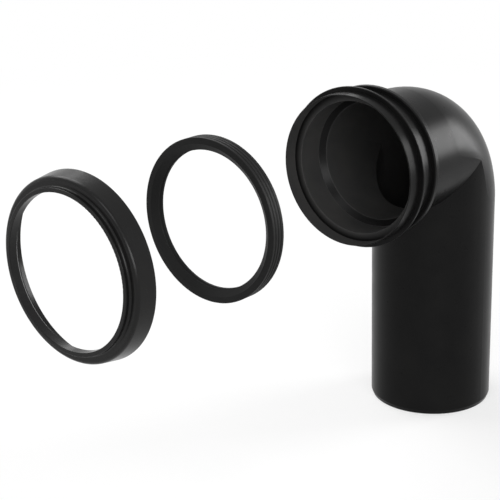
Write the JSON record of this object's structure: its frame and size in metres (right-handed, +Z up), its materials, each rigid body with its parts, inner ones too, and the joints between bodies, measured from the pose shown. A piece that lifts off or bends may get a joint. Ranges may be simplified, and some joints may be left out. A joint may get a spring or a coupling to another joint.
{
  "type": "toilet drain elbow",
  "caption": "Right-angled push-fit drain elbow with a plain spigot leg, a ribbed socket, and a loose lip seal and retaining cap drawn apart on the socket axis.",
  "frame": {"origin": "centre of the leg's lower end, on the leg's axis", "axes": "+Z up along the leg, -Y out of the socket's mouth, +X to the right when looking into the back of the bend"},
  "size_m": [0.1108, 0.4052, 0.2548],
  "materials": {
    "elbow_body": "satin moulded black polyethylene",
    "lip_seal": "matt black rubber",
    "retaining_cap": "satin moulded black polyethylene"
  },
  "bodies": {
    "elbow": {"elbow_body": "elbow_body"},
    "seal": {"lip_seal": "lip_seal"},
    "cap": {"retaining_cap": "retaining_cap"}
  },
  "joints": [
    {"name": "seal_slide", "type": "slide", "parent": "elbow", "child": "seal", "axis": [0, 1, 0], "range_m": [0, 0.13855]},
    {"name": "cap_slide", "type": "slide", "parent": "seal", "child": "cap", "axis": [0, 1, 0], "range_m": [0, 0.10675]}
  ]
}
